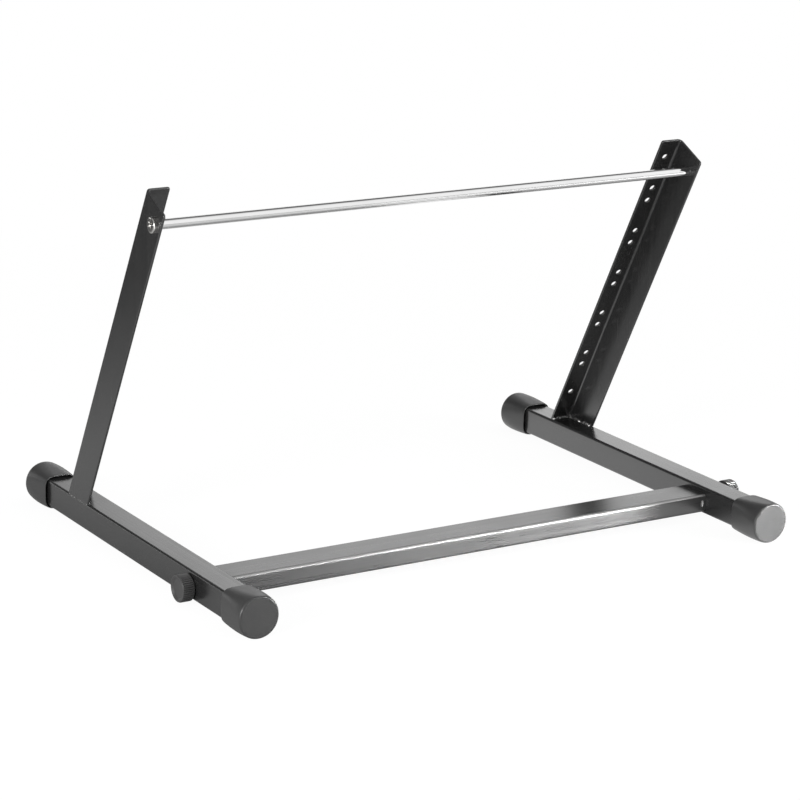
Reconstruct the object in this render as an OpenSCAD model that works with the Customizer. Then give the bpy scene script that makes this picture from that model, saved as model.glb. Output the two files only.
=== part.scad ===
// Table-top rack stand: two leaning angle rails welded to square base tubes, a cross tube held by
// two thumbscrews, and a round rod that spaces the rail tops.
// Millimetres. X runs across the bay, Y from the user's side to the back, Z up.
// The origin is on the floor at the middle of the base. Left and right are the user's, facing +Y.

/* [Rack bay] */
// Height of the bay in rack units
rack_units = 6; // [2:1:10]
// Height of one rack unit
unit_h = 44.45; // [40:0.05:50]
// Distance between the two screw holes of one unit
unit_hole_span = 31.75; // [20:0.05:36]
// Width of the bay between the left and the right row of screw holes
bay_w = 465.1; // [300:0.1:600]
// Core diameter of the tapped M6 screw holes
hole_d = 5; // [3:0.1:6]

/* [Rails] */
// Lean of the rails from upright, towards the back
rail_lean = 26.5; // [10:0.5:40]
// Width of the holed strip of the angle
strip_w = 20; // [17:0.5:22]
// Depth of the side flange of the angle
flange_w = 33; // [26:0.5:45]
// Thickness of the angle
rail_t = 2; // [1.5:0.1:3]
// Inside radius of the angle's fold
fold_r = 2; // [0.5:0.1:3]
// Radius of the two free corners at the rail top
rail_corner_r = 2; // [0.5:0.1:4]
// Rail length below the lowest rack unit
foot_len = 25.2; // [15:0.1:60]
// Rail length above the highest rack unit
head_len = 9.9; // [4:0.1:40]
// Leg of the fillet weld at the rail foot
weld_leg = 2; // [1:0.1:3]

/* [Base] */
// Length of the base over the end caps
base_len = 360; // [300:1:500]
// Width and height of the square base tube
tube_w = 22; // [20:0.5:30]
// Wall of the base tube
tube_wall = 1.5; // [1:0.1:2.5]
// Corner radius of the base tube
tube_r = 2; // [1:0.1:4]
// Distance from the front end of the base to the foot of the rails
rail_setback = 67; // [50:1:120]

/* [Cross tube] */
// Depth of the cross tube, front to back
cross_w = 30; // [20:0.5:40]
// Height of the cross tube
cross_h = 15; // [14:0.5:20]
// Wall of the cross tube
cross_wall = 1.5; // [1:0.1:2]
// Corner radius of the cross tube
cross_r = 2; // [1:0.1:4]
// Distance from the back end of the base to the middle of the cross tube
cross_inset = 85; // [60:1:110]
// Drop of the cross tube's middle below the base tube's middle
cross_drop = 1.8; // [0:0.1:2.5]
// Length of the threaded plug in each end of the cross tube
plug_len = 16; // [14:0.5:30]
// Height of the crimp that holds the plug
crimp_h = 5.5; // [3:0.1:7]
// Width of the crimp
crimp_w = 2.4; // [1.8:0.1:3]
// Depth of the crimp
crimp_depth = 0.8; // [0.3:0.1:0.9]
// Distance from the tube's end to the crimp
crimp_inset = 3; // [2.5:0.1:8]

/* [End caps] */
// Length of an end cap
cap_len = 32.5; // [20:0.5:40]
// Diameter of the cap's round end, on which the stand rests
cap_end_d = 32.5; // [30:0.5:45]
// Width of the cap at its half length
cap_mid_w = 30.2; // [27:0.1:45]
// Width of the cap at its mouth
cap_mouth_w = 27.5; // [25:0.5:45]
// Thickness of the cap's end wall
cap_end_wall = 4; // [2:0.1:8]
// Radius of the edge at the cap's round end
cap_edge_r = 1.5; // [1:0.1:4]

/* [Thumbscrews] */
// Diameter of the knob over its ribs
knob_d = 21; // [16:0.5:26]
// Length of the knob
knob_len = 10.5; // [9:0.1:16]
// Number of ribs around the knob
knob_ribs = 40; // [24:1:60]
// Depth of the ribs
rib_depth = 0.45; // [0.2:0.05:0.8]
// Length of the knob's tapered back
knob_taper = 1.3; // [1:0.1:3]
// Depth of the dish in the knob's face
dish_depth = 0.6; // [0.2:0.1:1]
// Width of the rim around the dish
dish_rim = 1.6; // [1:0.1:3]
// Diameter of the threaded stud
stud_d = 6; // [4:0.5:6.5]
// Length of the stud's thread inside the plug
stud_grip = 10; // [6:0.5:13]
// Length of the stud inside the knob
stud_hold = 7; // [4:0.5:7.5]
// How far the left thumbscrew is backed out of its seat
left_backed_out = 6.9; // [0:0.1:8]

/* [Support rod] */
// Diameter of the rod
rod_d = 7.5; // [7:0.1:9]
// Distance from the rail top to the rod's middle
rod_from_top = 15.8; // [10:0.1:40]
// Distance from the flange's free edge to the rod's middle
rod_from_edge = 10; // [8:0.5:16]
// Diameter of the rod screws
screw_d = 5; // [4:0.1:5.5]
// Length of the screw thread inside the rod
screw_grip = 12; // [8:0.5:20]
// Diameter of the screw head
head_d = 12; // [9:0.5:14]
// Height of the screw head
head_h = 3.2; // [2.6:0.1:5]
// Radius of the screw head's edge
head_edge_r = 0.8; // [0.4:0.1:1.5]

/* [Fits] */
// Clearance all round of a pushed-in piece
snug = 0.05; // [0.02:0.01:0.1]
// Clearance all round of a screw or stud that turns in its bore
run_fit = 0.05; // [0.02:0.01:0.1]
// Clearance all round of a screw that passes through a plain hole
pass_fit = 0.25; // [0.1:0.05:0.5]

/* [Hidden] */
$fn = 64;

paint = "#3b3b3b";
rubber = "#4a4a4a";
moulding = "#2c2c2c";
zinc = "#c9c9c6";

// Overshoot of a cutting shape past the face that it cuts
cut = 1;
// Thinnest slice that a hull is stretched between
slice = 0.02;
// Depth of the rod's bore past the end of its screw
bore_spare = 2;

row_x = bay_w / 2;
side_x = row_x + tube_w / 2;
inner_x = row_x - tube_w / 2;
tube_z = cap_end_d / 2;
tube_top = tube_z + tube_w / 2;
half_base = base_len / 2;
foot_y = -half_base + rail_setback;
cross_y = half_base - cross_inset;
cross_z = tube_z - cross_drop;
rail_len = foot_len + rack_units * unit_h + head_len;
rod_s = rail_len - rod_from_top;
rod_depth = flange_w - rod_from_edge;
cap_socket = cap_len - cap_end_wall;
tube_len = base_len - 2 * cap_end_wall;
stud_reach = tube_w + stud_grip;

// Shared shapes

module round_rect(w, h, r) {
    square([w - 2 * r, h], center = true);
    square([w, h - 2 * r], center = true);
    for (x = [-1, 1], y = [-1, 1])
        translate([x * (w / 2 - r), y * (h / 2 - r)]) circle(r);
}

module tube_section(w, h, wall, r) {
    difference() {
        round_rect(w, h, r);
        round_rect(w - 2 * wall, h - 2 * wall, max(r - wall, 0.4));
    }
}

// A corner square less its quarter circle, whose point is at the origin
module corner_waste(r) {
    difference() {
        translate([-cut, -cut]) square(r + cut);
        translate([r, r]) circle(r);
    }
}

// A slot with round ends, standing along Y, cut or raised along Z
module slot(length, width, depth) {
    linear_extrude(depth) {
        square([width, length - width], center = true);
        for (y = [-1, 1]) translate([0, y * (length - width) / 2]) circle(width / 2);
    }
}

// A square with bowed sides and round corners: power 2 is a circle, higher is squarer
module bowed_square(w, power) {
    step = 7.5;
    polygon([for (a = [step:step:360])
        let (reach = w / 2 / pow(pow(abs(cos(a)), power) + pow(abs(sin(a)), power), 1 / power))
        reach * [cos(a), sin(a)]]);
}

module to_left() {
    mirror([1, 0, 0]) children();
}

// Lays a shape on a rail: X stays across, Y becomes depth behind the strip, Z the way up the rail
module on_rail() {
    translate([0, foot_y, tube_top]) rotate([-rail_lean, 0, 0]) children();
}

// Turns a shape made along Z to point outwards along X from the right base tube's outer face
module on_thumbscrew_axis() {
    translate([side_x, cross_y, cross_z]) rotate([0, 90, 0]) children();
}

// Turns a shape made along Z to point outwards along X from the right rail's outer face
module on_rod_axis() {
    on_rail() translate([side_x, rod_depth, rod_s]) rotate([0, 90, 0]) children();
}

// Base tubes

module base_tube() {
    difference() {
        translate([row_x, tube_len / 2, tube_z]) rotate([90, 0, 0])
            linear_extrude(tube_len) tube_section(tube_w, tube_w, tube_wall, tube_r);
        on_thumbscrew_axis() translate([0, 0, -tube_w - cut])
            cylinder(d = stud_d + 2 * pass_fit, h = tube_w + 2 * cut);
    }
}

module left_base_tube() { color(paint) to_left() base_tube(); }
module right_base_tube() { color(paint) base_tube(); }

// Rails

module angle_section() {
    difference() {
        translate([side_x - strip_w, 0]) square([strip_w, flange_w]);
        translate([side_x, 0]) mirror([1, 0]) corner_waste(fold_r + rail_t);
        difference() {
            translate([side_x - strip_w - cut, rail_t])
                square([strip_w - rail_t + cut, flange_w - rail_t + cut]);
            translate([side_x - rail_t, rail_t]) mirror([1, 0]) corner_waste(fold_r);
        }
    }
}

module rail_bar() {
    below = flange_w;
    translate([0, 0, -below]) linear_extrude(rail_len + below) angle_section();
}

module rail_top_corners() {
    translate([side_x - strip_w, -cut, rail_len]) rotate([-90, 0, 0])
        linear_extrude(rail_t + 2 * cut) corner_waste(rail_corner_r);
    translate([side_x - rail_t - cut, flange_w, rail_len]) rotate([0, 90, 0])
        linear_extrude(rail_t + 2 * cut) mirror([0, 1]) corner_waste(rail_corner_r);
}

module screw_holes() {
    first = foot_len + (unit_h - unit_hole_span) / 2;
    for (unit = [0:rack_units - 1], hole = [0, 1])
        translate([row_x, -cut, first + unit * unit_h + hole * unit_hole_span])
            rotate([-90, 0, 0]) cylinder(d = hole_d, h = rail_t + 2 * cut);
}

// Everything below the top face of the base tubes, where the rail foot is sawn off
module below_tube_top() {
    reach = 3 * flange_w;
    translate([inner_x - reach / 2, foot_y - reach, tube_top - reach])
        cube([tube_w + reach, 2 * reach, reach]);
}

module rail() {
    difference() {
        on_rail() rail_bar();
        below_tube_top();
        on_rail() {
            rail_top_corners();
            screw_holes();
        }
        on_rod_axis() translate([0, 0, -rail_t - cut])
            cylinder(d = screw_d + 2 * pass_fit, h = rail_t + 2 * cut);
    }
}

module left_rail() { color(paint) to_left() rail(); }
module right_rail() { color(paint) rail(); }

// Fillet welds inside the foot of each angle, along the strip and along the flange
module rail_weld() {
    strip_back = foot_y + rail_t / cos(rail_lean);
    flange_run = (flange_w - rail_t) / cos(rail_lean);
    inside_x = side_x - rail_t;
    difference() {
        union() {
            translate([inner_x + tube_r, strip_back, tube_top]) rotate([0, 90, 0])
                cylinder(r = weld_leg, h = inside_x - inner_x - tube_r);
            translate([inside_x, strip_back + flange_run, tube_top]) rotate([90, 0, 0])
                cylinder(r = weld_leg, h = flange_run);
        }
        below_tube_top();
        on_rail() rail_bar();
        translate([side_x - rail_t, foot_y - flange_w, tube_top - cut])
            cube([2 * weld_leg + rail_t, 3 * flange_w, 2 * weld_leg + cut]);
        on_rail() translate([inner_x - cut, -flange_w, -flange_w])
            cube([tube_w + cut, flange_w + rail_t, 2 * flange_w]);
    }
}

module left_rail_weld() { color(zinc) to_left() rail_weld(); }
module right_rail_weld() { color(zinc) rail_weld(); }

// End caps, made along Z from the mouth to the round end

module cap_body() {
    lip = 0.3;
    end_r = cap_end_d / 2;
    round_steps = 4;
    hull() {
        linear_extrude(slice) bowed_square(cap_mouth_w - lip, 4);
        translate([0, 0, lip]) linear_extrude(slice) bowed_square(cap_mouth_w, 4);
        translate([0, 0, cap_len * 0.45]) linear_extrude(slice) bowed_square(cap_mid_w, 3.2);
        for (i = [0:round_steps]) {
            a = 90 * i / round_steps;
            translate([0, 0, cap_len - cap_edge_r * (1 - sin(a)) - slice])
                cylinder(r = end_r - cap_edge_r * (1 - cos(a)), h = slice, $fn = 48);
        }
    }
}

module end_cap() {
    socket_w = tube_w + 2 * snug;
    difference() {
        cap_body();
        translate([0, 0, -cut]) linear_extrude(cap_socket + cut)
            round_rect(socket_w, socket_w, tube_r + snug);
    }
}

module rear_cap() {
    translate([row_x, half_base - cap_len, tube_z]) rotate([-90, 0, 0]) end_cap();
}

module front_cap() {
    mirror([0, 1, 0]) rear_cap();
}

module front_left_cap() { color(rubber) to_left() front_cap(); }
module front_right_cap() { color(rubber) front_cap(); }
module rear_left_cap() { color(rubber) to_left() rear_cap(); }
module rear_right_cap() { color(rubber) rear_cap(); }

// Cross tube and its threaded plugs

// Places a shape on both long sides of the cross tube at both crimps of one end, facing outwards
module at_crimps() {
    for (side = [-1, 1])
        translate([inner_x - crimp_inset, cross_y, cross_z])
            rotate([0, 0, 90 - 90 * side]) translate([0, cross_w / 2, 0]) rotate([-90, 0, 0])
                children();
}

// The crimp's bulge inside the tube, grown on every side by the given clearance
module crimp_bulge(grow) {
    draft = 0.3;
    translate([0, 0, -cross_wall - crimp_depth - grow])
        slot(crimp_h - 2 * draft + 2 * grow, crimp_w - 2 * draft + 2 * grow,
            crimp_depth + grow + cross_wall / 2);
}

module cross_tube() {
    color(paint) difference() {
        union() {
            translate([-inner_x, cross_y, cross_z]) rotate([90, 0, 90])
                linear_extrude(2 * inner_x) tube_section(cross_w, cross_h, cross_wall, cross_r);
            at_crimps() crimp_bulge(0);
            to_left() at_crimps() crimp_bulge(0);
        }
        at_crimps() translate([0, 0, -crimp_depth]) slot(crimp_h, crimp_w, crimp_depth + cut);
        to_left() at_crimps() translate([0, 0, -crimp_depth])
            slot(crimp_h, crimp_w, crimp_depth + cut);
    }
}

module plug() {
    plug_w = cross_w - 2 * cross_wall - 2 * snug;
    plug_h = cross_h - 2 * cross_wall - 2 * snug;
    difference() {
        translate([inner_x - plug_len, cross_y, cross_z]) rotate([90, 0, 90])
            linear_extrude(plug_len) round_rect(plug_w, plug_h, max(cross_r - cross_wall, 0.4));
        translate([inner_x - plug_len - cut, cross_y, cross_z]) rotate([0, 90, 0])
            cylinder(d = stud_d + 2 * run_fit, h = plug_len + 2 * cut);
        at_crimps() crimp_bulge(snug);
    }
}

module left_plug() { color(zinc) to_left() plug(); }
module right_plug() { color(zinc) plug(); }

// Thumbscrews, made along Z with the base tube's outer face at zero

module stud() {
    point = 0.8;
    on_thumbscrew_axis() translate([0, 0, -stud_reach]) {
        cylinder(d1 = stud_d - 2 * point, d2 = stud_d, h = point);
        translate([0, 0, point]) cylinder(d = stud_d, h = stud_reach + stud_hold - point);
    }
}

module rib_ring() {
    step = 360 / knob_ribs;
    outer = knob_d / 2;
    root = outer - rib_depth;
    polygon([for (i = [0:knob_ribs - 1], p = [[0, root], [0.25, outer], [0.5, outer], [0.75, root]])
        p[1] * [cos((i + p[0]) * step), sin((i + p[0]) * step)]]);
}

module knob() {
    edge = 0.4;
    outer = knob_d / 2;
    hub = outer - knob_taper;
    dish = outer - edge - dish_rim;
    on_thumbscrew_axis() difference() {
        union() {
            rotate_extrude() polygon([
                [0, 0], [hub, 0], [outer - rib_depth, knob_taper],
                [outer - rib_depth, knob_len - edge], [outer - edge - rib_depth, knob_len],
                [dish, knob_len], [dish - dish_depth, knob_len - dish_depth],
                [0, knob_len - dish_depth]]);
            translate([0, 0, knob_taper])
                linear_extrude(knob_len - edge - knob_taper) rib_ring();
        }
        translate([0, 0, -cut]) cylinder(d = stud_d + 2 * run_fit, h = stud_hold + run_fit + cut);
    }
}

// Places a thumbscrew shape on the left, as far out as that screw stands
module backed_out() {
    to_left() translate([left_backed_out, 0, 0]) children();
}

module left_stud() { color(zinc) backed_out() stud(); }
module right_stud() { color(zinc) stud(); }
module left_knob() { color(moulding) backed_out() knob(); }
module right_knob() { color(moulding) knob(); }

// Support rod and its screws

module support_rod() {
    half = side_x - rail_t;
    bore_deep = screw_grip + bore_spare;
    color(zinc) on_rail() translate([0, rod_depth, rod_s]) rotate([0, 90, 0]) difference() {
        translate([0, 0, -half]) cylinder(d = rod_d, h = 2 * half);
        for (side = [-1, 1]) translate([0, 0, side * half - (side > 0 ? bore_deep : cut)])
            cylinder(d = screw_d + 2 * run_fit, h = bore_deep + cut);
    }
}

// A pan head with a round edge and a cross recess, on a plain shank
module rod_screw() {
    recess_w = 1.2;
    recess_len = head_d * 0.5;
    recess_deep = head_h * 0.65;
    round_steps = 4;
    on_rod_axis() {
        difference() {
            hull() for (i = [0:round_steps]) {
                a = 90 * i / round_steps;
                cylinder(r = head_d / 2 - head_edge_r * (1 - cos(a)),
                    h = head_h - head_edge_r * (1 - sin(a)));
            }
            for (a = [0, 90]) rotate([0, 0, a])
                translate([-recess_len / 2, -recess_w / 2, head_h - recess_deep])
                    cube([recess_len, recess_w, recess_deep + cut]);
        }
        translate([0, 0, -rail_t - screw_grip]) cylinder(d = screw_d, h = rail_t + screw_grip);
    }
}

module left_rod_screw() { color(zinc) to_left() rod_screw(); }
module right_rod_screw() { color(zinc) rod_screw(); }

left_base_tube();
right_base_tube();
left_rail();
right_rail();
left_rail_weld();
right_rail_weld();
front_left_cap();
front_right_cap();
rear_left_cap();
rear_right_cap();
cross_tube();
left_plug();
right_plug();
left_stud();
right_stud();
left_knob();
right_knob();
support_rod();
left_rod_screw();
right_rod_screw();
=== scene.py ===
import math

import bmesh
import bpy
from mathutils import Matrix, Vector


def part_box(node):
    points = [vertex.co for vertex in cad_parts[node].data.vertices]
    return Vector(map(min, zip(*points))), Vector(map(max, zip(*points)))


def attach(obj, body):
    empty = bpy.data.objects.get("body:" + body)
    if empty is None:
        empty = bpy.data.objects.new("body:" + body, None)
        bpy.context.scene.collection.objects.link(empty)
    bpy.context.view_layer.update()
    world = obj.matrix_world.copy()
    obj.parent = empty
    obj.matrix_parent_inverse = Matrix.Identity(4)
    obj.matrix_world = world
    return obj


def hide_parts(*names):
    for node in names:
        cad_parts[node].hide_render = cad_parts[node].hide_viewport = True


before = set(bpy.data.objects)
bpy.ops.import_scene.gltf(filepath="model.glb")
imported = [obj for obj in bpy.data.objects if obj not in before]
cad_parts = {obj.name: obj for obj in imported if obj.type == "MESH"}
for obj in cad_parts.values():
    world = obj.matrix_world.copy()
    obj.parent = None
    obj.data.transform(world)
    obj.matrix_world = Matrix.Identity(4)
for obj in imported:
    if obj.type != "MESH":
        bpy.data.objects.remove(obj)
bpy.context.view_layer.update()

mm = 0.001
micron = 0.000001
sides = {"left": -1, "right": 1}  # the user's, facing +Y

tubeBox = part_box("right_base_tube")
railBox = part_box("right_rail")
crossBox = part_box("cross_tube")
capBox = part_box("rear_right_cap")
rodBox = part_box("support_rod")
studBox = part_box("right_stud")
sideX = tubeBox[1].x  # outer faces of the right tube and rail
innerX = tubeBox[0].x
rowX = (sideX + innerX) / 2
tubeZ = (tubeBox[0].z + tubeBox[1].z) / 2
tubeTop = tubeBox[1].z
footY = railBox[0].y


# Camera

cameraPlace = {
    "where": (1.15282, 1.80171, 0.71331),
    "azimuth": 31.986,  # degrees from +Y towards +X
    "elevation": 17.508,
    "roll": 1.63,
    "lens": 125.77,  # mm on a 36 mm sensor
    "shift": (0.0323, 0.0930),
}


def addCamera(facts):
    az, el, roll = (math.radians(facts[k]) for k in ("azimuth", "elevation", "roll"))
    ahead = Vector((-math.sin(az) * math.cos(el), -math.cos(az) * math.cos(el), -math.sin(el)))
    right = Vector((-math.cos(az), math.sin(az), 0))
    up = right.cross(ahead)
    tilted = right * math.cos(roll) + up * math.sin(roll)
    upright = up * math.cos(roll) - right * math.sin(roll)
    data = bpy.data.cameras.new("camera")
    data.lens = facts["lens"]
    data.sensor_width = 36
    data.shift_x, data.shift_y = facts["shift"]
    data.clip_start, data.clip_end = 0.05, 50
    camera = bpy.data.objects.new("camera", data)
    turn = Matrix((tilted, upright, -ahead)).transposed().to_4x4()
    camera.matrix_world = Matrix.Translation(facts["where"]) @ turn
    bpy.context.scene.collection.objects.link(camera)
    bpy.context.scene.camera = camera


addCamera(cameraPlace)
print("camera placed")


# Node groups that several finishes share

def newGroup(name, inputs, outputs):
    group = bpy.data.node_groups.new(name, "ShaderNodeTree")
    for label, kind, value in inputs:
        socket = group.interface.new_socket(label, in_out="INPUT", socket_type="NodeSocket" + kind)
        if value is not None:
            socket.default_value = value
    for label, kind in outputs:
        group.interface.new_socket(label, in_out="OUTPUT", socket_type="NodeSocket" + kind)
    return group, group.nodes.new("NodeGroupInput"), group.nodes.new("NodeGroupOutput")


def feed(tree, socket, value):
    # a number is set on the socket, anything else is linked to it
    if isinstance(value, (int, float)):
        socket.default_value = value
    else:
        tree.links.new(value, socket)


def mathNode(tree, operation, a, b=0.0):
    node = tree.nodes.new("ShaderNodeMath")
    node.operation = operation
    for socket, value in zip(node.inputs, (a, b)):
        feed(tree, socket, value)
    return node.outputs[0]


def noiseNode(tree, vector, scale, detail=3.0, rough=0.5):
    node = tree.nodes.new("ShaderNodeTexNoise")
    node.inputs["Detail"].default_value = detail
    node.inputs["Roughness"].default_value = rough
    tree.links.new(vector, node.inputs["Vector"])
    feed(tree, node.inputs["Scale"], scale)
    return node.outputs[0]


def stretchNode(tree, vector, scale):
    node = tree.nodes.new("ShaderNodeVectorMath")
    node.operation = "MULTIPLY"
    tree.links.new(vector, node.inputs[0])
    node.inputs[1].default_value = scale
    return node.outputs[0]


def rampNode(tree, factor, low, high):
    node = tree.nodes.new("ShaderNodeMapRange")
    tree.links.new(factor, node.inputs["Value"])
    node.inputs["From Min"].default_value = low
    node.inputs["From Max"].default_value = high
    return node.outputs["Result"]


def mixNode(tree, factor, a, b):
    # a plain blend of two values
    node = tree.nodes.new("ShaderNodeMix")
    tree.links.new(factor, node.inputs["Factor"])
    for socket, value in zip(node.inputs[2:4], (a, b)):
        feed(tree, socket, value)
    return node.outputs[0]


drawnLines = {
    "hair": (9, 2600, 2600),  # noise scale along X and across it
    "band": (3, 620, 620),
    "hairShare": 0.4,
    "shows": (0.37, 0.63),  # noise that becomes 0 and 1 in the mask
}


def makeDrawnLines():
    # fine lines along local X that a tube keeps from the drawing die
    look = drawnLines
    tree, into, out = newGroup("drawnLines", [("Vector", "Vector", None), ("Fineness", "Float", 1.0)],
                               [("Mask", "Float"), ("Height", "Float")])
    sized = tree.nodes.new("ShaderNodeVectorMath")
    sized.operation = "SCALE"
    tree.links.new(into.outputs["Vector"], sized.inputs[0])
    tree.links.new(into.outputs["Fineness"], sized.inputs["Scale"])
    hair, band = (noiseNode(tree, stretchNode(tree, sized.outputs[0], look[k]), 1.0, 2.0)
                  for k in ("hair", "band"))
    both = mathNode(tree, "ADD", mathNode(tree, "MULTIPLY", hair, look["hairShare"]),
                    mathNode(tree, "MULTIPLY", band, 1 - look["hairShare"]))
    tree.links.new(rampNode(tree, both, *look["shows"]), out.inputs["Mask"])
    tree.links.new(both, out.inputs["Height"])
    return tree


orangePeel = {"cloud": 28.0, "cloudShows": (0.35, 0.65)}


def makeOrangePeel():
    # low rounded ripples of a sprayed or baked coat
    look = orangePeel
    tree, into, out = newGroup("orangePeel", [("Vector", "Vector", None), ("Scale", "Float", 600.0)],
                               [("Height", "Float"), ("Cloud", "Float")])
    ripple = noiseNode(tree, into.outputs["Vector"], into.outputs["Scale"], 1.0, 0.4)
    cloud = noiseNode(tree, into.outputs["Vector"], look["cloud"])
    tree.links.new(ripple, out.inputs["Height"])
    tree.links.new(rampNode(tree, cloud, *look["cloudShows"]), out.inputs["Cloud"])
    return tree


mouldGrain = {"pitShare": 0.5, "mottle": 120.0, "scuffAndSheen": (60, 60, 420), "scuffAndSheenShows": (0.62, 0.78)}


def makeMouldGrain():
    # the fine pitted skin of a moulded piece, with a few paler streaks that are partly scuffs and partly
    # painted sheen
    look = mouldGrain
    tree, into, out = newGroup("mouldGrain", [("Vector", "Vector", None), ("Scale", "Float", 1500.0)],
                               [("Mask", "Float"), ("Height", "Float"), ("ScuffAndSheen", "Float")])
    pits = tree.nodes.new("ShaderNodeTexVoronoi")
    tree.links.new(into.outputs["Vector"], pits.inputs["Vector"])
    tree.links.new(into.outputs["Scale"], pits.inputs["Scale"])
    fine = noiseNode(tree, into.outputs["Vector"], into.outputs["Scale"], 2.0)
    mixed = mathNode(tree, "ADD", mathNode(tree, "MULTIPLY", pits.outputs["Distance"], look["pitShare"]),
                     mathNode(tree, "MULTIPLY", fine, 1 - look["pitShare"]))
    mottle = noiseNode(tree, into.outputs["Vector"], look["mottle"], 4.0, 0.6)
    scuffAndSheen = noiseNode(tree, stretchNode(tree, into.outputs["Vector"], look["scuffAndSheen"]), 1.0, 4.0, 0.7)
    tree.links.new(mottle, out.inputs["Mask"])
    tree.links.new(mixed, out.inputs["Height"])
    tree.links.new(rampNode(tree, scuffAndSheen, *look["scuffAndSheenShows"]), out.inputs["ScuffAndSheen"])
    return tree


groups = {"drawnLines": makeDrawnLines(), "orangePeel": makeOrangePeel(), "mouldGrain": makeMouldGrain()}


# Materials

def startMaterial(name, settings):
    material = bpy.data.materials.new(name)
    material.use_nodes = True
    tree = material.node_tree
    shader = next(n for n in tree.nodes if n.type == "BSDF_PRINCIPLED")
    for label, value in settings.items():
        shader.inputs[label].default_value = value
    coords = tree.nodes.new("ShaderNodeTexCoord")
    return material, tree, shader, coords.outputs["Object"]


def groupNode(tree, name, vector, **values):
    node = tree.nodes.new("ShaderNodeGroup")
    node.node_tree = groups[name]
    tree.links.new(vector, node.inputs["Vector"])
    for label, value in values.items():
        node.inputs[label].default_value = value
    return node


def turned(tree, vector, degrees):
    # turns a pattern made along X to run along the piece
    node = tree.nodes.new("ShaderNodeMapping")
    node.inputs["Rotation"].default_value = [math.radians(v) for v in degrees]
    tree.links.new(vector, node.inputs["Vector"])
    return node.outputs[0]


def blendColour(tree, shader, mask, dark, light):
    node = tree.nodes.new("ShaderNodeMix")
    node.data_type = "RGBA"
    tree.links.new(mask, node.inputs["Factor"])
    node.inputs[6].default_value = (*dark, 1)
    node.inputs[7].default_value = (*light, 1)
    tree.links.new(node.outputs[2], shader.inputs["Base Color"])


def blendRoughness(tree, shader, mask, low, high):
    node = tree.nodes.new("ShaderNodeMapRange")
    tree.links.new(mask, node.inputs["Value"])
    node.inputs["To Min"].default_value = low
    node.inputs["To Max"].default_value = high
    tree.links.new(node.outputs["Result"], shader.inputs["Roughness"])


def overlay(tree, shader, name, mask, value):
    # lays a plain value over what feeds a socket, where the mask is 1
    socket = shader.inputs[name]
    node = tree.nodes.new("ShaderNodeMix")
    colour = isinstance(value, tuple)
    node.data_type = "RGBA" if colour else "FLOAT"
    a, b, out = (6, 7, 2) if colour else (2, 3, 0)
    tree.links.new(mask, node.inputs[0])
    tree.links.new(socket.links[0].from_socket, node.inputs[a])
    node.inputs[b].default_value = value + (1,) if colour else value
    tree.links.new(node.outputs[out], socket)


def addBump(tree, shader, layers):
    # layers: (height, depth in metres) from the lowest up
    last = None
    for height, depth in layers:
        node = tree.nodes.new("ShaderNodeBump")
        node.inputs["Distance"].default_value = depth
        tree.links.new(height, node.inputs["Height"])
        if last:
            tree.links.new(last, node.inputs["Normal"])
        last = node.outputs["Normal"]
    tree.links.new(last, shader.inputs["Normal"])


paintLook = {
    "dark": (0.010, 0.010, 0.0105),
    "light": (0.019, 0.019, 0.0185),
    "ior": 1.85,
    "smooth": 0.21,
    "rough": 0.28,
    "lineShare": 0.7,  # the rest of the tone comes from the peel's cloud
    "lineDepth": 3.5 * micron,
    "peelDepth": 4.5 * micron,
    "thread": (0.17, 0.168, 0.165),  # bare steel where a hole was tapped after painting
    "threadRough": 0.35,
    "paintedHighlight": (0.6, 0.595, 0.59),  # steel laid over the coat as a painted highlight on the cross tube's upper corners and in its crimps
    "paintedHighlightRough": 0.55,
}


def toneMask(tree, lines, peel, lineShare):
    return mathNode(tree, "ADD", mathNode(tree, "MULTIPLY", lines.outputs["Mask"], lineShare),
                    mathNode(tree, "MULTIPLY", peel.outputs["Cloud"], 1 - lineShare))


def makePaint(name, degrees, rougher=0.0, paler=1.0, glossier=0.0):
    # two attributes lay steel over the coat: bare steel in the tapped holes, and steel as a painted highlight
    # on the cross tube's corners and crimps
    look = paintLook
    material, tree, shader, where = startMaterial(name, {"IOR": look["ior"] + glossier})
    along = turned(tree, where, degrees)
    lines = groupNode(tree, "drawnLines", along)
    peel = groupNode(tree, "orangePeel", where)
    both = toneMask(tree, lines, peel, look["lineShare"])
    dark, light = ([paler * v for v in look[tone]] for tone in ("dark", "light"))
    blendColour(tree, shader, both, dark, light)
    blendRoughness(tree, shader, both, look["smooth"] + rougher, look["rough"] + rougher)
    masks = []
    for layer, colour, roughness in (("bare", "thread", "threadRough"), ("paintedHighlight", "paintedHighlight", "paintedHighlightRough")):
        mask = tree.nodes.new("ShaderNodeAttribute")
        mask.attribute_name = layer
        overlay(tree, shader, "Base Color", mask.outputs["Fac"], look[colour])
        overlay(tree, shader, "Roughness", mask.outputs["Fac"], look[roughness])
        masks.append(mask.outputs["Fac"])
    tree.links.new(mathNode(tree, "MAXIMUM", *masks), shader.inputs["Metallic"])
    addBump(tree, shader, [(peel.outputs["Height"], look["peelDepth"]),
                           (lines.outputs["Height"], look["lineDepth"])])
    return material


weldLook = {
    "dark": (0.012, 0.012, 0.012),
    "light": (0.035, 0.034, 0.033),
    "ior": 1.9,
    "smooth": 0.12,
    "rough": 0.3,
    "peelScale": 1400.0,
    "peelDepth": 30 * micron,
    "glintFleck": (0.8, 0.79, 0.78),  # bright metallic flecks laid on the bead as painted glints
    "glintFleckScale": 700.0,
    "glintFleckShows": (0.54, 0.6),
}


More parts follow.
